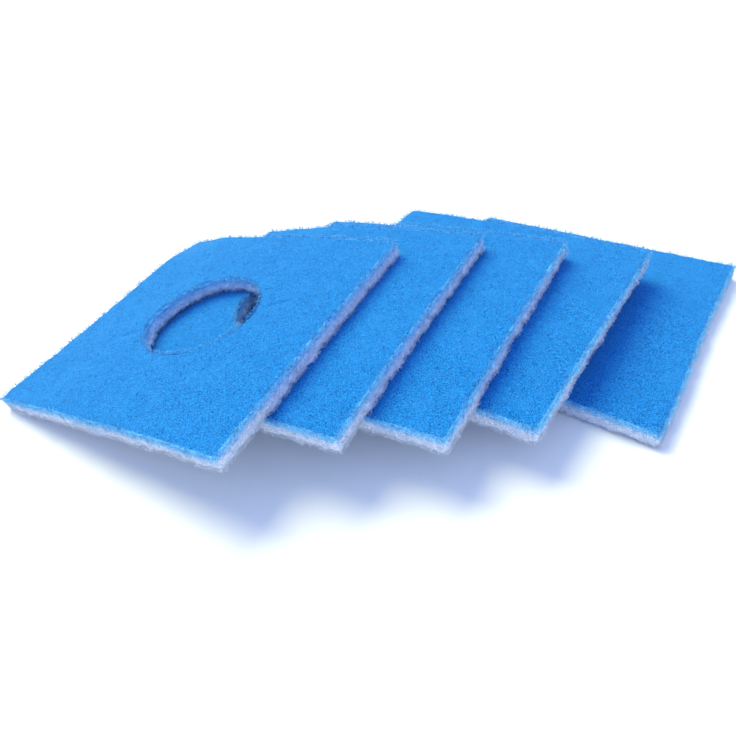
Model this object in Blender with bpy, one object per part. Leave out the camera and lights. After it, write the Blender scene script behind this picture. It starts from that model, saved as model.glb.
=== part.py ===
"""Set of five square filter fleece pads for an aquarium or pond filter, in metres, +Z up.

Each pad is two fleeces bonded face to face: a blue one on top and a thicker white one under
it, die-cut together to a square with a round hole in the middle. The pads lie fanned out
along +X, each on the left part of the next one, so that only the last lies flat.
"""
import math

import bmesh
import bpy
from mathutils import Matrix, Vector

MM = 0.001
COLLECTION = "filter_fleece_pad_set"

# One pad
PAD_SIDE = 180 * MM
PAD_THICKNESS = 9.5 * MM
BLUE_THICKNESS = 3.0 * MM
BOND_GAP = 0.3 * MM
WHITE_THICKNESS = PAD_THICKNESS - BLUE_THICKNESS - BOND_GAP
CORNER_RADIUS = 2 * MM
HOLE_RADIUS = 37 * MM

# Fineness of the outline and of the bend
CORNER_STEPS = 3
HOLE_STEPS = 36
BEND_STEP = 25 * MM

# Below these, points are one point, a slice meets a point, and a curvature is none
WELD_REACH = 0.01 * MM
SLICE_REACH = 0.001 * MM
LEAST_CURVATURE = 1e-6

# How each pad lies: where its left corner is (across, back), how far it is turned, and its
# upward slope at its left corner and at its right corner. A pad bends evenly in between.
LAYS = {
    "pad_1": (0 * MM, 0 * MM, -32.5, 13.7, 6.7),
    "pad_2": (53 * MM, 9 * MM, -34.0, 13.4, 4.9),
    "pad_3": (102 * MM, 8 * MM, -35.5, 12.5, 2.1),
    "pad_4": (153 * MM, 26 * MM, -40.5, 11.1, -2.4),
    "pad_5": (213 * MM, 33 * MM, -41.5, 0.0, 0.0),
}

BLUE = (0.035, 0.25, 0.78, 1.0)
WHITE = (0.82, 0.85, 0.93, 1.0)
FLEECE_ROUGHNESS = 0.95


def clear_scene():
    for old in list(bpy.data.objects):
        bpy.data.objects.remove(old, do_unlink=True)


def make_collection(name):
    collection = bpy.data.collections.new(name)
    bpy.context.scene.collection.children.link(collection)
    return collection


def fleece_material(name, colour):
    material = bpy.data.materials.new(name)
    material.use_nodes = True
    shader = material.node_tree.nodes["Principled BSDF"]
    shader.inputs["Base Color"].default_value = colour
    shader.inputs["Roughness"].default_value = FLEECE_ROUGHNESS
    shader.inputs["Metallic"].default_value = 0.0
    material.diffuse_color = colour
    return material


def arc_points(centre_x, centre_y, radius, start, end, steps):
    """Points on a round stretch of an outline, from the start angle to the end angle."""
    angles = [start + (end - start) * i / steps for i in range(steps + 1)]
    return [(centre_x + radius * math.cos(a), centre_y + radius * math.sin(a)) for a in angles]


def square_outline():
    """The pad's square with rounded corners, its left corner at the origin."""
    near, far = CORNER_RADIUS, PAD_SIDE - CORNER_RADIUS
    centres = [(near, near), (far, near), (far, far), (near, far)]
    points = []
    for quarter, (x, y) in enumerate(centres):
        start = math.pi + quarter * math.pi / 2
        points += arc_points(x, y, CORNER_RADIUS, start, start + math.pi / 2, CORNER_STEPS)
    return points


def hole_outline():
    middle = PAD_SIDE / 2
    return arc_points(middle, middle, HOLE_RADIUS, 0.0, 2 * math.pi, HOLE_STEPS)[:-1]


def flat_fleece(name, thickness, depth):
    """Closed mesh of one flat fleece whose upper face is depth below the pad's top."""
    curve = bpy.data.curves.new(name, "CURVE")
    curve.dimensions = "2D"
    curve.fill_mode = "BOTH"
    curve.extrude = thickness / 2
    for outline in (square_outline(), hole_outline()):
        spline = curve.splines.new("POLY")
        spline.points.add(len(outline) - 1)
        for point, (x, y) in zip(spline.points, outline):
            point.co = (x, y, 0.0, 1.0)
        spline.use_cyclic_u = True
    blank = bpy.data.objects.new(name, curve)
    bpy.context.scene.collection.objects.link(blank)
    evaluated = blank.evaluated_get(bpy.context.evaluated_depsgraph_get())
    mesh = bpy.data.meshes.new_from_object(evaluated)
    bpy.data.objects.remove(blank, do_unlink=True)
    bpy.data.curves.remove(curve)
    mesh.name = name
    mesh.transform(Matrix.Translation((0.0, 0.0, -depth - thickness / 2)))
    return mesh


def bent(along, drop, left_slope, right_slope, span):
    """Where a point goes when the pad bends: its new distance along and its new height."""
    curvature = (right_slope - left_slope) / span
    slope = left_slope + curvature * along
    if abs(curvature) < LEAST_CURVATURE:
        run, rise = along * math.cos(slope), along * math.sin(slope)
    else:
        run = (math.sin(slope) - math.sin(left_slope)) / curvature
        rise = (math.cos(left_slope) - math.cos(slope)) / curvature
    return run + drop * math.sin(slope), rise - drop * math.cos(slope)


def lay_fleece(mesh, turn, left_slope, right_slope):
    """Turn a flat fleece, slice it across +X and bend it over its neighbour."""
    body = bmesh.new()
    body.from_mesh(mesh)
    bmesh.ops.remove_doubles(body, verts=body.verts, dist=WELD_REACH)
    bmesh.ops.rotate(body, verts=body.verts, matrix=Matrix.Rotation(turn, 3, "Z"))
    span = max(vert.co.x for vert in body.verts)
    for slice_number in range(1, math.ceil(span / BEND_STEP)):
        bmesh.ops.bisect_plane(
            body,
            geom=body.verts[:] + body.edges[:] + body.faces[:],
            dist=SLICE_REACH,
            plane_co=(slice_number * BEND_STEP, 0.0, 0.0),
            plane_no=(1.0, 0.0, 0.0),
        )
    for vert in body.verts:
        vert.co.x, vert.co.z = bent(vert.co.x, -vert.co.z, left_slope, right_slope, span)
    bmesh.ops.recalc_face_normals(body, faces=body.faces)
    body.to_mesh(mesh)
    body.free()


def make_pad(name, lay, materials, collection):
    """One pad: an empty at its left corner that carries the blue and the white fleece."""
    across, back, turn_deg, left_deg, right_deg = lay
    turn, left_slope, right_slope = (math.radians(a) for a in (turn_deg, left_deg, right_deg))
    corner = bpy.data.objects.new(name + "_corner", None)
    corner.location = (across, back, PAD_THICKNESS * math.cos(left_slope))
    collection.objects.link(corner)
    fleeces = (
        ("blue_face", BLUE_THICKNESS, 0.0),
        ("white_fleece", WHITE_THICKNESS, BLUE_THICKNESS + BOND_GAP),
    )
    for kind, thickness, depth in fleeces:
        mesh = flat_fleece(f"{name}_{kind}", thickness, depth)
        lay_fleece(mesh, turn, left_slope, right_slope)
        mesh.materials.append(materials[kind])
        fleece = bpy.data.objects.new(f"{name}_{kind}", mesh)
        fleece.parent = corner
        collection.objects.link(fleece)
    return corner


def centre_on_origin(corners):
    """Shift the whole set so that the middle of its footprint is over the origin."""
    bpy.context.view_layer.update()
    points = [
        fleece.matrix_world @ Vector(vert.co)
        for corner in corners
        for fleece in corner.children
        for vert in fleece.data.vertices
    ]
    for axis in (0, 1):
        values = [point[axis] for point in points]
        middle = (min(values) + max(values)) / 2
        for corner in corners:
            corner.location[axis] -= middle


def main():
    clear_scene()
    collection = make_collection(COLLECTION)
    materials = {
        "blue_face": fleece_material("blue_fleece", BLUE),
        "white_fleece": fleece_material("white_fleece", WHITE),
    }
    corners = [make_pad(name, lay, materials, collection) for name, lay in LAYS.items()]
    centre_on_origin(corners)


main()
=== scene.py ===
"""Looks of a fanned set of square filter fleece pads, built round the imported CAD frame.

Each pad is rebuilt as two soft solids, a blue fleece and the white fleece bonded under it,
with loose fibres standing on their faces and cut edges. Sizes, places and bends are read
from the CAD nodes that the pieces replace.
"""
import math

import bpy
import numpy as np
from mathutils import Matrix, Vector


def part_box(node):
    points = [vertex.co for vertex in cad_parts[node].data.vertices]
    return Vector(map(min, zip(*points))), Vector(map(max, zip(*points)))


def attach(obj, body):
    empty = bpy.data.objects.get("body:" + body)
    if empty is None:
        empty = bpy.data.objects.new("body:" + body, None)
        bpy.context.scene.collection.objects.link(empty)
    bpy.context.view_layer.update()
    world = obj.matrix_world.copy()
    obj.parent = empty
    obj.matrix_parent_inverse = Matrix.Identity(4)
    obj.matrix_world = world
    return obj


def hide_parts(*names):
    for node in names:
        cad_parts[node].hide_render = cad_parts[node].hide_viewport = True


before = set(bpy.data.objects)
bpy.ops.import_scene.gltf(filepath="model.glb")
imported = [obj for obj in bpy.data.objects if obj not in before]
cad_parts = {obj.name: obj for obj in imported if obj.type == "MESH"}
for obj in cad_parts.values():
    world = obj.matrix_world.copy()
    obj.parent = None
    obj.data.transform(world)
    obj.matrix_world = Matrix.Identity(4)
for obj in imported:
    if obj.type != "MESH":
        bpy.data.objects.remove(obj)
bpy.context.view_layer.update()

MM = 0.001
PADS = (1, 2, 3, 4, 5)

# Reading a pad from its CAD nodes: how level a top face is, the order of the curve that its
# bend follows, how finely and how far past its ends, and how unevenly round its hole is
FACES_UP = 0.9
BEND_ORDER = 3
BEND_SAMPLES = 800
BEND_MARGIN = 20 * MM
HOLE_SLACK = 1.02

# Form of a pad, beside what the frame gives
CORNER_RADIUS = 2.0 * MM
RIM_ROUNDING = 1.8 * MM
FOOT_ROUNDING = 1.3 * MM

# Far corners that hang a little: pad, how far down, how far from the corner it starts
DROOPS = {1: (4.5 * MM, 38 * MM), 2: (5.0 * MM, 75 * MM)}

# Near corners that flare out past the square: pad, how far across, how far from the corner
FLARES = {1: (-4.0 * MM, 65 * MM), 5: (3.0 * MM, 120 * MM)}

# Shallow creases beside the first pad's hole: middle as (u, v), and their common form
CREASES = {1: ((49 * MM, 16 * MM), (-39 * MM, -25 * MM))}
CREASE_DEPTH = 0.7 * MM
CREASE_LENGTH = 11 * MM
CREASE_WIDTH = 2.5 * MM

# Uneven surface, in layers of (height, size of a lump, seed)
SWAY = ((0.7 * MM, 55 * MM, 3), (0.3 * MM, 24 * MM, 4))
EDGE_LUMPS = ((0.40 * MM, 26 * MM, 1), (0.45 * MM, 7 * MM, 2))
TUFTS = ((0.60 * MM, 3.0 * MM, 3), (0.40 * MM, 1.5 * MM, 6))
TOP_LUMPS = ((0.06 * MM, 12 * MM, 4), (0.015 * MM, 3 * MM, 5), (0.02 * MM, 1.5 * MM, 7))
PAD_SEEDS = 100

# The sway sets in between these heights, and the tufts grow between these depths
SWAY_HEIGHTS = (1 * MM, 22 * MM)
TUFT_DEPTHS = (2 * MM, 9 * MM)
TUFTS_ABOVE, TUFTS_GAINED = 0.7, 0.6

# How far the uneven surface is set back, so that it keeps the pad's size
EDGE_SET_BACK = 0.15 * MM
TOP_SET_BACK = 0.06 * MM

# Fineness of the meshes
ROUND_STEPS = 720
TOP_STEPS = 72
UNDER_STEPS = 24
BOND_STEPS = 3
RIM_STEPS = 5
WALL_STEPS = 8
BLUE_WALL_STEPS = 2

# Loose fibres on one pad
TOP_FIBRES = 4300
WALL_FIBRES = 6400
STRAY_FIBRES = 500
RIM_FIBRES = 3400
UNDER_FIBRES = 1500
FIBRE_SEED = 500

# Least and most length of a fibre, rise above the fleece and thickness
FLAT, SHORT, CURLY, LONG = (
    (1.4 * MM, 4.2 * MM),
    (1.2 * MM, 3.6 * MM),
    (1.0 * MM, 2.6 * MM),
    (2.5 * MM, 6.0 * MM),
)
LOW, MIDDLE, HIGH, TALL = (
    (0.06 * MM, 0.24 * MM),
    (0.30 * MM, 1.2 * MM),
    (0.8 * MM, 2.0 * MM),
    (0.5 * MM, 2.4 * MM),
)
THIN, THICK = (0.07 * MM, 0.13 * MM), (0.11 * MM, 0.22 * MM)

# Where fibres are rooted: clear of the top and the foot, and near the upper and the lower rim
ROOTS_CLEAR = 0.4 * MM
UPPER_ROOTS = (0.1 * MM, 1.1 * MM)
LOWER_ROOTS = (0.3 * MM, 1.2 * MM)
UPPER_LEAN, LOWER_LEAN = 1.8, -0.4

# A fibre: sides, then its rings as (share of length, share of rise, share of thickness), and
# how far it bows to a side for its length
FIBRE_SIDES = 3
FIBRE_RINGS = ((0.0, -0.5, 1.0), (0.35, 0.7, 0.95), (0.7, 1.0, 0.75), (1.0, 0.6, 0.3))
FIBRE_BOW = 0.45
STEEP = 0.8

# Colours
BLUE = (0.006, 0.158, 0.51)
# The cyan is where the blue layer blends into the white fleece at the rims and walls. It is made
# lighter than that blend as painted glow, standing in for light through the fleece and lifting the
# shaded walls.
CYAN_BLEND_AND_PAINTED_GLOW = (0.17, 0.55, 0.94)
WHITE = (0.75, 0.80, 0.92)
FLOOR = (0.87, 0.87, 0.87)
SHEEN = (0.30, 0.76, 1.0, 1.0)

# How pale the fleece is where it is cyan, from 0 for blue to 1 for white
CYAN_AT = 0.4

# Where the fleece turns cyan and then white, as depths past the rim, and how far it pales then
OUTER_TO_CYAN, OUTER_TO_WHITE = (-1.8 * MM, 1.0 * MM), (0.6 * MM, 5.5 * MM)
HOLE_TO_CYAN, HOLE_TO_WHITE = (-0.9 * MM, 1.1 * MM), (1.6 * MM, 6.0 * MM)
OUTER_PALING, HOLE_PALING = 1.0 - CYAN_AT, 0.40
FOOT_TO_WHITE = (8.0 * MM, 9.3 * MM)

# What a colour is multiplied by where the fleece or a fibre is darkest and lightest
BLUE_GRAIN = ((0.2, 0.36, 0.52), (3.0, 1.54, 1.36))
CYAN_GRAIN = ((0.6, 0.78, 0.84), (1.4, 1.18, 1.08))
WHITE_GRAIN = ((0.55, 0.64, 0.76), (1.20, 1.16, 1.10))
# Blue fibres are lighter than the blue fleece as painted sheen for the light that loose fibres catch,
# and they also vary at random from fibre to fibre.
BLUE_STRAND_AND_PAINTED_SHEEN = ((6.0, 1.60, 1.40), (14.0, 2.20, 1.70))
CYAN_STRAND = ((0.6, 0.84, 0.95), (1.6, 1.25, 1.06))
WHITE_STRAND = ((0.95, 0.96, 1.0), (1.30, 1.24, 1.14))
BLUE_CLOUDS = (5.0, 1.45, 1.30)
CLOUD_SHARE = 0.22
PALE_SCATTER = 0.07

# Grain of the fleece
PORE_SIZE = 0.50 * MM
GRAIN_SIZE = 0.30 * MM
CLOUD_SIZE = 11 * MM
RAGGEDNESS = 0.45
BUMP_STRENGTH = 0.15
BUMP_DISTANCE = 0.3 * MM

# Light
SKY_FILL = (0.54, 0.69, 1.10)
SUN_COLOUR = (1.0, 0.94, 0.48)
SUN_STRENGTH = 5.3
SUN_TRAVEL = (0.48, -0.84, -1.0)
SUN_SPREAD = 46.0

# Stage
FLOOR_SIZE = 18.0
FLOOR_DROP = 0.4 * MM
BACKDROP_RADIUS = 8.0

# Camera
CAMERA_PLACE = (-0.0162, -0.2882, 0.2044)
CAMERA_PITCH = 39.05
CAMERA_ROLL = -6.92
CAMERA_LENS = 26.31
CAMERA_SENSOR = 36.0
CAMERA_CLIP = (0.01, 100.0)


# ---------------------------------------------------------------- camera and stage


def make_camera():
    data = bpy.data.cameras.new("camera")
    data.sensor_width = CAMERA_SENSOR
    data.lens = CAMERA_LENS
    data.clip_start, data.clip_end = CAMERA_CLIP
    camera = bpy.data.objects.new("camera", data)
    bpy.context.scene.collection.objects.link(camera)
    tilt = Matrix.Rotation(math.radians(90.0 - CAMERA_PITCH), 4, "X")
    roll = Matrix.Rotation(math.radians(CAMERA_ROLL), 4, "Z")
    camera.matrix_world = Matrix.Translation(CAMERA_PLACE) @ tilt @ roll
    bpy.context.scene.camera = camera


def floor_material():
    material = bpy.data.materials.new("floor_paper")
    material.use_nodes = True
    shader = material.node_tree.nodes["Principled BSDF"]
    shader.inputs["Base Color"].default_value = (*FLOOR, 1.0)
    shader.inputs["Roughness"].default_value = 0.95
    shader.inputs["Specular IOR Level"].default_value = 0.0
    return material


def make_stage():
    """A pale floor and a white backdrop dome that only the camera sees."""
    bpy.ops.mesh.primitive_plane_add(size=FLOOR_SIZE, location=(0.0, 0.0, -FLOOR_DROP))
    floor = bpy.context.object
    floor.name = "floor"
    floor.data.materials.append(floor_material())
    bpy.ops.mesh.primitive_uv_sphere_add(radius=BACKDROP_RADIUS, segments=48, ring_count=24)
    dome = bpy.context.object
    dome.name = "backdrop"
    glow = bpy.data.materials.new("backdrop_white")
    glow.use_nodes = True
    tree = glow.node_tree
    tree.nodes.clear()
    emission = tree.nodes.new("ShaderNodeEmission")
    output = tree.nodes.new("ShaderNodeOutputMaterial")
    tree.links.new(emission.outputs[0], output.inputs["Surface"])
    dome.data.materials.append(glow)
    dome.visible_diffuse = False
    dome.visible_glossy = False
    dome.visible_transmission = False
    dome.visible_volume_scatter = False
    dome.visible_shadow = False


def make_light():
    """A broad soft light from behind on the left and a cool fill from all round."""
    data = bpy.data.lights.new("key", "SUN")
    data.energy = SUN_STRENGTH
    data.color = SUN_COLOUR
    data.angle = math.radians(SUN_SPREAD)
    sun = bpy.data.objects.new("key", data)
    sun.rotation_mode = "QUATERNION"
    sun.rotation_quaternion = Vector(SUN_TRAVEL).to_track_quat("-Z", "Y")
    bpy.context.scene.collection.objects.link(sun)
    world = bpy.data.worlds.new("fill")
    world.use_nodes = True
    background = world.node_tree.nodes["Background"]
    background.inputs["Color"].default_value = (*SKY_FILL, 1.0)
    background.inputs["Strength"].default_value = 1.0
    bpy.context.scene.world = world
    bpy.context.scene.view_settings.view_transform = "Standard"


# ---------------------------------------------------------------- noise


NOISE_VALUES = 4096
NOISE_PRIMES = (73856093, 19349663, 83492791)


def lumps(points, size, seed):
    """Smooth noise from -1 to 1 at each point, with lumps about size across."""
    table = np.random.default_rng(seed).uniform(-1.0, 1.0, NOISE_VALUES)
    scaled = points / size
    cell = np.floor(scaled).astype(np.int64)
    part = scaled - cell
    part = part * part * (3.0 - 2.0 * part)
    total = np.zeros(points.shape[:-1])
    for corner in np.ndindex(2, 2, 2):
        key = np.bitwise_xor.reduce((cell + corner) * NOISE_PRIMES, axis=-1) % NOISE_VALUES
        weight = np.prod(np.where(corner, part, 1.0 - part), axis=-1)
        total += weight * table[key]
    return total


def layered(points, layers, first_seed=0):
    return sum(height * lumps(points, size, first_seed + seed) for height, size, seed in layers)


def smooth_step(value, low, high):
    part = np.clip((value - low) / (high - low), 0.0, 1.0)
    return part * part * (3.0 - 2.0 * part)


# ---------------------------------------------------------------- a pad's form


class Pad:
    """One pad's size, place and bend, read from its CAD nodes.

    Its own coordinates are u and v from the pad's centre along its sides, and the depth
    under its top face.
    """

    def __init__(self, number):
        self.number = number
        self.name = f"pad_{number}"
        self.blue_node = f"{self.name}_blue_face"
        self.white_node = f"{self.name}_white_fleece"
        top = self.top_points()
        self.height = np.polyfit(top[:, 0], top[:, 2], BEND_ORDER)
        self.rise = np.polyder(self.height)
        left_end, right_end = top[:, 0].min() - BEND_MARGIN, top[:, 0].max() + BEND_MARGIN
        self.run = np.linspace(left_end, right_end, BEND_SAMPLES)
        step = np.hypot(np.diff(self.run), np.diff(np.polyval(self.height, self.run)))
        self.along = np.concatenate([[0.0], np.cumsum(step)])
        flat = np.stack([np.interp(top[:, 0], self.run, self.along), top[:, 1]], axis=1)
        self.centre = (flat.min(axis=0) + flat.max(axis=0)) / 2
        flat -= self.centre
        # The left corner is rounded about a point on the square's diagonal
        across, back = flat[flat[:, 0].argmin()] + (CORNER_RADIUS, 0.0)
        self.turn = math.atan2(across - back, -across - back)
        self.half = math.hypot(across, back) / math.sqrt(2) + CORNER_RADIUS
        reach = np.hypot(flat[:, 0], flat[:, 1])
        self.hole = reach[reach < reach.min() * HOLE_SLACK].max()

    def top_points(self):
        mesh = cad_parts[self.blue_node].data
        faces = [face for face in mesh.polygons if face.normal.z > FACES_UP]
        corners = {i for face in faces for i in face.vertices}
        return np.array([mesh.vertices[i].co for i in sorted(corners)])

    def place(self, flat):
        """World places of points given as (u, v, depth)."""
        u, v = flat[..., 0], flat[..., 1]
        depth = flat[..., 2] + self.sag(u, v)
        if self.number in FLARES:
            most, start = FLARES[self.number]
            away = np.hypot(u - math.copysign(self.half, most), v + self.half)
            u = u + most * (1.0 - smooth_step(away, 0.0, start))
        cosine, sine = math.cos(self.turn), math.sin(self.turn)
        along = self.centre[0] + u * cosine - v * sine
        x = np.interp(along, self.along, self.run)
        slope = np.arctan(np.polyval(self.rise, x))
        world = np.stack(
            [
                x + depth * np.sin(slope),
                self.centre[1] + u * sine + v * cosine,
                np.polyval(self.height, x) - depth * np.cos(slope),
            ],
            axis=-1,
        )
        world[..., 2] += sway(world)
        world[..., 2] = np.maximum(world[..., 2], 0.0)
        return world

    def sag(self, u, v):
        """How much lower than its even bend the pad lies at u, v."""
        down = np.zeros_like(u)
        if self.number in DROOPS:
            most, start = DROOPS[self.number]
            away = np.hypot(u + self.half, v - self.half)
            down += most * (1.0 - smooth_step(away, 0.0, start))
        for middle_u, middle_v in CREASES.get(self.number, ()):
            cosine, sine = math.cos(self.turn), math.sin(self.turn)
            along = ((u - middle_u) * cosine - (v - middle_v) * sine) / CREASE_LENGTH
            across = ((u - middle_u) * sine + (v - middle_v) * cosine) / CREASE_WIDTH
            down += CREASE_DEPTH * np.exp(-(along**2 + across**2))
        return down


def sway(world):
    """Slow waves that every pad shares, so that they stay nested, and that die at the floor."""
    level = world * (1.0, 1.0, 0.0)
    return layered(level, SWAY) * smooth_step(world[..., 2], *SWAY_HEIGHTS)


def thickness_of(pads):
    """(depth of the bond between the fleeces, thickness of a pad), from the flat pad."""
    flat = pads[-1]
    blue_low, blue_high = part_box(flat.blue_node)
    white_low, white_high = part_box(flat.white_node)
    top = blue_high.z
    return top - (blue_low.z + white_high.z) / 2, top - white_low.z


def outline_rays(pad):
    """Evenly spaced points round the pad's square outline, as (direction, reach)."""
    steps = ROUND_STEPS
    straight = pad.half - CORNER_RADIUS
    arc = math.pi / 2 * CORNER_RADIUS
    side = 2 * straight + arc
    place = np.arange(steps) * 4 * side / steps
    quarter = (place // side).astype(int)
    rest = place - quarter * side
    bend = np.clip((rest - 2 * straight) / CORNER_RADIUS, 0.0, math.pi / 2)
    x = np.full(steps, pad.half) - CORNER_RADIUS * (1.0 - np.cos(bend))
    y = np.minimum(rest, 2 * straight) - straight + CORNER_RADIUS * np.sin(bend)
    angle = quarter * math.pi / 2
    points = np.stack(
        [x * np.cos(angle) - y * np.sin(angle), x * np.sin(angle) + y * np.cos(angle)], axis=1
    )
    reach = np.hypot(points[:, 0], points[:, 1])
    return points / reach[:, None], reach


def wall(edge, start, end, steps):
    """Rows down or up a wall: (edge, inset from it, depth, facing outwards, facing upwards)."""
    return [(edge, 0.0, depth, 1.0, 0.0) for depth in np.linspace(start, end, steps + 1)]


def rim(edge, radius, depth, upward, opening):
    """Rows of a rounded edge; opening says that they go from the wall to the face."""
    turns = np.linspace(0.0, math.pi / 2, RIM_STEPS + 1)[1:]
    rows = []
    for turn in turns if opening else turns[::-1]:
        inset = radius * (1.0 - math.cos(turn))
        drop = radius * (1.0 - math.sin(turn)) * upward
        rows.append((edge, inset, depth + drop, math.cos(turn), upward * math.sin(turn)))
    return rows


def face(depth, upward, inset, steps, outwards):
    """Rows across a face, where the edge is the share of the way from the hole outwards."""
    shares = np.linspace(0.0, 1.0, steps + 1)[1:-1]
    return [(share, inset, depth, 0.0, upward) for share in (shares if outwards else shares[::-1])]


def blue_rows(bond):
    """From the bond up the hole's wall, over the top and down the outer wall."""
    return (
        wall("hole", bond, RIM_ROUNDING, BLUE_WALL_STEPS)
        + rim("hole", RIM_ROUNDING, 0.0, 1.0, True)
        + face(0.0, 1.0, RIM_ROUNDING, TOP_STEPS, True)
        + rim("outer", RIM_ROUNDING, 0.0, 1.0, False)
        + wall("outer", RIM_ROUNDING, bond, BLUE_WALL_STEPS)
        + face(bond, 0.0, 0.0, BOND_STEPS, False)
    )


def white_rows(bond, foot):
    """From the bond down the outer wall, under the pad and up the hole's wall."""
    return (
        wall("outer", bond, foot - FOOT_ROUNDING, WALL_STEPS)
        + rim("outer", FOOT_ROUNDING, foot, -1.0, True)
        + face(foot, -1.0, FOOT_ROUNDING, UNDER_STEPS, False)
        + rim("hole", FOOT_ROUNDING, foot, -1.0, False)
        + wall("hole", foot - FOOT_ROUNDING, bond, WALL_STEPS)
        + face(bond, 0.0, 0.0, BOND_STEPS, True)
    )


def fuzz(flat, pad, outward, upward):
    """How far the soft surface stands out of its plain form, in metres."""
    first_seed = PAD_SEEDS * pad.number
    tufts = layered(flat, TUFTS, first_seed)
    growth = TUFTS_ABOVE + TUFTS_GAINED * smooth_step(flat[..., 2], *TUFT_DEPTHS)
    edge = layered(flat, EDGE_LUMPS, first_seed) + tufts * growth
    top = layered(flat, TOP_LUMPS, first_seed) + np.abs(outward) * tufts
    return np.abs(outward) * (edge - EDGE_SET_BACK) + np.abs(upward) * (top - TOP_SET_BACK)


def paleness(flat, pad):
    """How far the colour has gone from blue through cyan, partly painted glow, to white, from 0 to 1.
    """
    u, v, depth = flat[..., 0], flat[..., 1], flat[..., 2]
    past_edge = depth - (pad.half - np.maximum(np.abs(u), np.abs(v)))
    past_hole = depth - (np.hypot(u, v) - pad.hole)
    outer = CYAN_AT * smooth_step(past_edge, *OUTER_TO_CYAN)
    outer += OUTER_PALING * smooth_step(past_edge, *OUTER_TO_WHITE)
    hole = CYAN_AT * smooth_step(past_hole, *HOLE_TO_CYAN)
    hole += HOLE_PALING * smooth_step(past_hole, *HOLE_TO_WHITE)
    below = smooth_step(depth, *FOOT_TO_WHITE)
    return np.maximum(np.maximum(outer, hole), below)


def closed_ring(pad, rows):
    """Vertices, faces and paleness of a solid made of rows that close round the hole."""
    rays, reach = outline_rays(pad)
    flats = []
    for edge, inset, depth, outward, upward in rows:
        outer = reach * (1.0 - inset / pad.half)
        if edge == "hole":
            radius, sign = np.full_like(reach, pad.hole + inset), -1.0
        elif edge == "outer":
            radius, sign = outer, 1.0
        else:
            radius, sign = (pad.hole + inset) * (1.0 - edge) + outer * edge, 0.0
        flat = np.concatenate([rays * radius[:, None], np.full((len(reach), 1), depth)], axis=1)
        stand = fuzz(flat, pad, outward, upward)
        flat[:, :2] += rays * (sign * outward * stand)[:, None]
        flat[:, 2] -= upward * stand
        flats.append(flat)
    flat = np.array(flats)
    count, steps = flat.shape[:2]
    row, column = np.meshgrid(np.arange(count), np.arange(steps), indexing="ij")
    next_row, next_column = (row + 1) % count, (column + 1) % steps
    corners = ((row, column), (next_row, column), (next_row, next_column), (row, next_column))
    faces = np.stack([r * steps + c for r, c in corners], axis=-1).reshape(-1, 4)
    return pad.place(flat).reshape(-1, 3), faces, paleness(flat, pad).reshape(-1)


def new_piece(name, points, faces, values, material):
    """A smooth mesh object made of arrays of quads and triangles, with values at its points."""
    mesh = bpy.data.meshes.new(name)
    sizes = np.concatenate([np.full(len(part), part.shape[1]) for part in faces])
    loops = np.concatenate([part.reshape(-1) for part in faces])
    mesh.vertices.add(len(points))
    mesh.vertices.foreach_set("co", points.reshape(-1))
    mesh.loops.add(len(loops))
    mesh.loops.foreach_set("vertex_index", loops)
    mesh.polygons.add(len(sizes))
    mesh.polygons.foreach_set("loop_start", np.cumsum(sizes) - sizes)
    mesh.update(calc_edges=True)
    mesh.materials.append(material)
    for key, data in values.items():
        attribute = mesh.attributes.new(key, "FLOAT", "POINT")
        attribute.data.foreach_set("value", np.ascontiguousarray(data, np.float32))
    mesh.shade_smooth()
    piece = bpy.data.objects.new(name, mesh)
    bpy.context.scene.collection.objects.link(piece)
    return piece


# ---------------------------------------------------------------- loose fibres


def curl(rng, roots, outward, length, rise):
    """Paths that leave the surface, bow along it and sink back towards it."""
    count = len(roots)
    side = rng.normal(size=(count, 3))
    side -= outward * np.sum(side * outward, axis=1, keepdims=True)
    side /= np.linalg.norm(side, axis=1, keepdims=True)
    third = np.cross(outward, side)
    length = rng.uniform(*length, (count, 1))
    rise = rng.uniform(*rise, (count, 1))
    bow = rng.uniform(-FIBRE_BOW, FIBRE_BOW, (count, 1)) * length
    rings = []
    for share, lift, _ in FIBRE_RINGS:
        bowed = bow * 4 * share * (1 - share)
        rings.append(roots + side * length * share + third * bowed + outward * rise * lift)
    return np.stack(rings, axis=1)


def tubes(pad, paths, thickness):
    """Closed three-sided tapering tubes along paths of shape (fibres, points, 3)."""
    world = pad.place(paths)
    along = np.gradient(world, axis=1)
    along /= np.linalg.norm(along, axis=-1, keepdims=True)
    helper = np.where(np.abs(along[..., 2:]) < STEEP, (0.0, 0.0, 1.0), (1.0, 0.0, 0.0))
    across = np.cross(along, helper)
    across /= np.linalg.norm(across, axis=-1, keepdims=True)
    beside = np.cross(along, across)
    turns = (np.arange(FIBRE_SIDES) * 2 * math.pi / FIBRE_SIDES)[:, None]
    taper = np.array([width for _, _, width in FIBRE_RINGS])
    radius = (thickness[:, None] / 2 * taper)[:, :, None, None]
    ring = np.cos(turns) * across[:, :, None, :] + np.sin(turns) * beside[:, :, None, :]
    points = (world[:, :, None, :] + radius * ring).reshape(-1, 3)
    points[:, 2] = np.maximum(points[:, 2], 0.0)
    size = len(FIBRE_RINGS) * FIBRE_SIDES
    first = np.arange(len(paths))[:, None, None] * size
    sides = []
    for here in range(size - FIBRE_SIDES):
        beyond = here - here % FIBRE_SIDES + (here + 1) % FIBRE_SIDES
        sides.append((here, here + FIBRE_SIDES, beyond + FIBRE_SIDES, beyond))
    ends = [range(FIBRE_SIDES), range(size - 1, size - 1 - FIBRE_SIDES, -1)]
    quads = (first + np.array(sides)).reshape(-1, 4)
    caps = (first + np.array(ends)).reshape(-1, 3)
    return points, (quads, caps)


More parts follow.
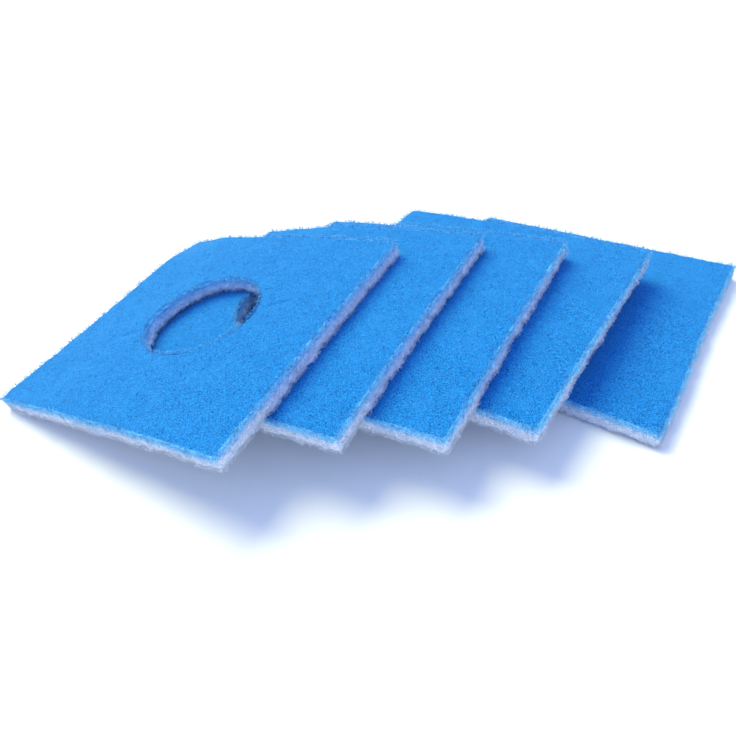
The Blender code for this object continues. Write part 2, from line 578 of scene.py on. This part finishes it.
def wall_roots(rng, pad, count, low, high, upward=0.0):
    """Random roots on the outer wall and the hole's wall, as (u, v, depth) and outward."""
    rays, reach = outline_rays(pad)
    hole_share = 2 * math.pi * pad.hole / (2 * math.pi * pad.hole + 8 * pad.half)
    on_hole = (rng.random(count) < hole_share)[:, None]
    edge = rays * reach[:, None]
    spot = rng.integers(0, len(reach), count)
    blend = rng.random((count, 1))
    outer = edge[spot] * (1 - blend) + edge[(spot + 1) % len(reach)] * blend
    angle = rng.random(count) * 2 * math.pi
    ring = np.stack([np.cos(angle), np.sin(angle)], axis=1)
    reached = np.abs(outer).max(axis=1, keepdims=True)
    square = np.where(np.abs(outer) > reached - CORNER_RADIUS / 2, np.sign(outer), 0.0)
    roots = np.zeros((count, 3))
    roots[:, :2] = np.where(on_hole, ring * pad.hole, outer)
    roots[:, 2] = rng.uniform(low, high, count)
    outward = np.zeros((count, 3))
    outward[:, :2] = np.where(on_hole, -ring, square)
    outward /= np.linalg.norm(outward, axis=1, keepdims=True)
    roots += outward * fuzz(roots, pad, 1.0, 0.0)[:, None]
    outward[:, 2] = -upward
    return roots, outward / np.linalg.norm(outward, axis=1, keepdims=True)


def face_roots(rng, pad, count, depth, upward):
    """Random roots on the top or the underside, clear of the hole."""
    flat = rng.uniform(-1.0, 1.0, (count * 2, 2)) * (pad.half - RIM_ROUNDING / 2)
    flat = flat[np.hypot(flat[:, 0], flat[:, 1]) > pad.hole + RIM_ROUNDING / 2][:count]
    roots = np.concatenate([flat, np.full((len(flat), 1), depth)], axis=1)
    roots[:, 2] -= upward * fuzz(roots, pad, 0.0, upward)
    return roots, np.tile((0.0, 0.0, -upward), (len(flat), 1))


# ---------------------------------------------------------------- materials


def node(tree, kind, **settings):
    made = tree.nodes.new(kind)
    for key, value in settings.items():
        setattr(made, key, value)
    return made


def noise_node(tree, coordinates, size, detail, roughness):
    made = node(tree, "ShaderNodeTexNoise")
    made.inputs["Scale"].default_value = 1.0 / size
    made.inputs["Detail"].default_value = detail
    made.inputs["Roughness"].default_value = roughness
    tree.links.new(coordinates, made.inputs["Vector"])
    return made.outputs["Fac"]


def maths(tree, operation, first, second):
    made = node(tree, "ShaderNodeMath", operation=operation)
    for socket, value in zip(made.inputs, (first, second)):
        if isinstance(value, (int, float)):
            socket.default_value = value
        else:
            tree.links.new(value, socket)
    return made.outputs[0]


def spread(tree, value, low, high, to_low=0.0, to_high=1.0):
    made = node(tree, "ShaderNodeMapRange", interpolation_type="SMOOTHSTEP")
    tree.links.new(value, made.inputs["Value"])
    limits = {"From Min": low, "From Max": high, "To Min": to_low, "To Max": to_high}
    for key, limit in limits.items():
        made.inputs[key].default_value = limit
    return made.outputs["Result"]


def mix(tree, share, first, second):
    made = node(tree, "ShaderNodeMix", data_type="RGBA")
    tree.links.new(share, made.inputs["Factor"])
    for key, value in (("A", first), ("B", second)):
        socket = [s for s in made.inputs if s.name == key and s.type == "RGBA"][0]
        if isinstance(value, tuple):
            socket.default_value = (*value, 1.0)
        else:
            tree.links.new(value, socket)
    return [s for s in made.outputs if s.type == "RGBA"][0]


def through_cyan(tree, pale, blue, cyan, white):
    """Blue, cyan or white, or a mix of two of them, by how pale the fleece is."""
    first = mix(tree, spread(tree, pale, 0.0, CYAN_AT), blue, cyan)
    return mix(tree, spread(tree, pale, CYAN_AT, 1.0), first, white)


def scaled(colour, factors):
    return tuple(min(1.0, c * k) for c, k in zip(colour, factors))


def varied(tree, share, colour, least_and_most):
    """A colour that goes from its darkest to its lightest with the share."""
    darkest, lightest = (scaled(colour, factors) for factors in least_and_most)
    return mix(tree, share, darkest, lightest)


def fleece_material(name, base):
    """Matted fibre with dark pores, blue at the top of the pad and white lower down, with painted
    glow in the cyan between.
    """
    material = bpy.data.materials.new(name)
    material.use_nodes = True
    tree = material.node_tree
    shader = tree.nodes["Principled BSDF"]
    place = node(tree, "ShaderNodeTexCoord").outputs["Object"]
    pale = node(tree, "ShaderNodeAttribute", attribute_name="pale").outputs["Fac"]
    pores = spread(tree, noise_node(tree, place, PORE_SIZE, 2.0, 0.6), 0.36, 0.62)
    grain = noise_node(tree, place, GRAIN_SIZE, 1.0, 0.5)
    clouds = spread(tree, noise_node(tree, place, CLOUD_SIZE, 3.0, 0.6), 0.40, 0.72, 0.0, CLOUD_SHARE)
    relief = maths(tree, "MULTIPLY", maths(tree, "ADD", pores, grain), 0.5)
    shade = spread(tree, relief, 0.28, 0.72)
    blue = mix(tree, clouds, varied(tree, shade, BLUE, BLUE_GRAIN), scaled(BLUE, BLUE_CLOUDS))
    cyan = varied(tree, shade, CYAN_BLEND_AND_PAINTED_GLOW, CYAN_GRAIN)
    white = varied(tree, shade, WHITE, WHITE_GRAIN)
    middle = maths(tree, "MULTIPLY", pale, maths(tree, "SUBTRACT", 1.0, pale))
    uneven = spread(tree, relief, 0.15, 0.75, -RAGGEDNESS, RAGGEDNESS)
    ragged = maths(tree, "ADD", pale, maths(tree, "MULTIPLY", middle, uneven))
    colour = through_cyan(tree, ragged, blue, cyan, white)
    tree.links.new(colour, shader.inputs["Base Color"])
    shader.inputs["Roughness"].default_value = 0.95
    shader.inputs["Specular IOR Level"].default_value = 0.03
    shader.inputs["Sheen Weight"].default_value = 0.44
    shader.inputs["Sheen Roughness"].default_value = 0.4
    shader.inputs["Sheen Tint"].default_value = SHEEN
    bump = node(tree, "ShaderNodeBump")
    bump.inputs["Strength"].default_value = BUMP_STRENGTH
    bump.inputs["Distance"].default_value = BUMP_DISTANCE
    tree.links.new(relief, bump.inputs["Height"])
    tree.links.new(bump.outputs[0], shader.inputs["Normal"])
    material.diffuse_color = (*base, 1.0)
    return material


def fibre_material(name, base):
    """Loose fibre whose colour follows its place on the pad and varies from fibre to fibre."""
    material = bpy.data.materials.new(name)
    material.use_nodes = True
    tree = material.node_tree
    shader = tree.nodes["Principled BSDF"]
    pale = node(tree, "ShaderNodeAttribute", attribute_name="pale").outputs["Fac"]
    tint = node(tree, "ShaderNodeAttribute", attribute_name="tint").outputs["Fac"]
    # The blue of the fibres is lightened as painted sheen.
    blue = varied(tree, tint, BLUE, BLUE_STRAND_AND_PAINTED_SHEEN)
    cyan = varied(tree, tint, CYAN_BLEND_AND_PAINTED_GLOW, CYAN_STRAND)
    white = varied(tree, tint, WHITE, WHITE_STRAND)
    tree.links.new(through_cyan(tree, pale, blue, cyan, white), shader.inputs["Base Color"])
    shader.inputs["Roughness"].default_value = 0.7
    shader.inputs["Specular IOR Level"].default_value = 0.2
    material.diffuse_color = (*base, 1.0)
    return material


# ---------------------------------------------------------------- making the pads


def fibre_piece(rng, pad, name, batches, material):
    """One mesh of loose fibres from batches of (roots and outward, length, rise, thickness)."""
    paths = np.concatenate([curl(rng, *roots, length, rise) for roots, length, rise, _ in batches])
    thickness = [rng.uniform(*thick, len(roots[0])) for roots, _, _, thick in batches]
    points, faces = tubes(pad, paths, np.concatenate(thickness))
    scatter = rng.normal(0.0, PALE_SCATTER, len(paths))
    pale = np.clip(paleness(paths[:, 0], pad) + scatter, 0.0, 1.0)
    values = {"pale": pale, "tint": rng.random(len(paths)) ** 2}
    each = len(points) // len(paths)
    values = {key: np.repeat(data, each) for key, data in values.items()}
    return new_piece(name, points, faces, values, material)


def make_pad(pad, bond, foot, materials):
    """One pad: its two soft fleeces in place of the CAD solids, and its loose fibres."""
    for kind, rows, cad_node in (
        ("blue", blue_rows(bond), pad.blue_node),
        ("white", white_rows(bond, foot), pad.white_node),
    ):
        points, faces, pale = closed_ring(pad, rows)
        name = f"{pad.name}_{kind}_fleece_soft"
        piece = new_piece(name, points, [faces], {"pale": pale}, materials[kind])
        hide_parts(cad_node)
        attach(piece, pad.name)
    rng = np.random.default_rng(FIBRE_SEED + pad.number)
    blue_share = bond / foot
    blue_wall, white_wall = (ROOTS_CLEAR, bond), (bond, foot - ROOTS_CLEAR)
    lower_rim = (foot - LOWER_ROOTS[1], foot - LOWER_ROOTS[0])

    def on_face(count, depth, upward):
        return face_roots(rng, pad, count, depth, upward)

    def on_wall(count, depths, lean=0.0):
        return wall_roots(rng, pad, int(count), *depths, lean)

    batches = {
        "blue": [
            (on_face(TOP_FIBRES, 0.0, 1.0), FLAT, LOW, THIN),
            (on_wall(WALL_FIBRES * blue_share, blue_wall), SHORT, MIDDLE, THICK),
            (on_wall(STRAY_FIBRES * blue_share, blue_wall), LONG, HIGH, THIN),
            (on_wall(RIM_FIBRES, UPPER_ROOTS, UPPER_LEAN), CURLY, TALL, THICK),
        ],
        "white": [
            (on_face(UNDER_FIBRES, foot, -1.0), FLAT, LOW, THIN),
            (on_wall(WALL_FIBRES * (1 - blue_share), white_wall), SHORT, MIDDLE, THICK),
            (on_wall(STRAY_FIBRES * (1 - blue_share), white_wall), LONG, HIGH, THIN),
            (on_wall(RIM_FIBRES, lower_rim, LOWER_LEAN), SHORT, MIDDLE, THICK),
        ],
    }
    for kind, parts in batches.items():
        name = f"{pad.name}_{kind}_fibres"
        piece = fibre_piece(rng, pad, name, parts, materials[f"{kind}_fibre"])
        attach(piece, pad.name)


make_camera()
make_stage()
make_light()
materials = {
    "blue": fleece_material("blue_fleece", BLUE),
    "white": fleece_material("white_fleece", WHITE),
    "blue_fibre": fibre_material("blue_fibre", BLUE),
    "white_fibre": fibre_material("white_fibre", WHITE),
}
pads = [Pad(number) for number in PADS]
bond, foot = thickness_of(pads)
for pad in pads:
    make_pad(pad, bond, foot, materials)
